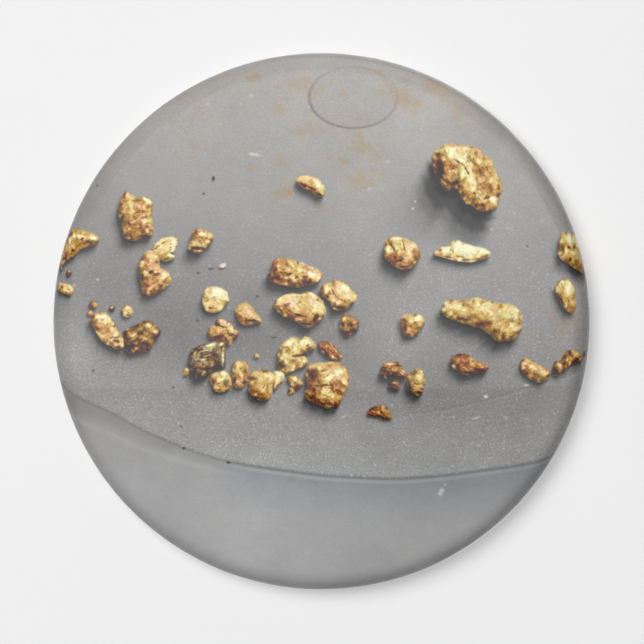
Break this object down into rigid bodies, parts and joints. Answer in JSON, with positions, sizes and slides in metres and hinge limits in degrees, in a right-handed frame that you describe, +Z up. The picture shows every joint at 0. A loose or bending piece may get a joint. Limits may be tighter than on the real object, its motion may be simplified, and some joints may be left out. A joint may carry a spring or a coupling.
{
  "type": "round fridge magnet",
  "caption": "Round domed fridge magnet: a steel cap wrapped in a printed paper disc and clear film, closed by a pressed back plate with a full-back flexible magnet.",
  "frame": {"origin": "centre of the magnet's contact face, on the door it hangs on", "axes": "+Y points out of the contact face into the door, -Y out of the printed face, +Z is up as the print is read"},
  "size_m": [0.0572, 0.0055, 0.0572],
  "materials": {
    "film": "clear gloss polyester film",
    "print": "printed paper in greys with golds and browns",
    "tinplate": "bright rolled tinplate",
    "adhesive": "double-sided film adhesive",
    "magnet_rubber": "matt calendered flexible magnet"
  },
  "bodies": {
    "root": {"clear_film": "film", "printed_paper": "print", "front_shell": "tinplate", "back_plate": "tinplate", "adhesive_disc": "adhesive", "magnet_disc": "magnet_rubber"}
  },
  "joints": []
}
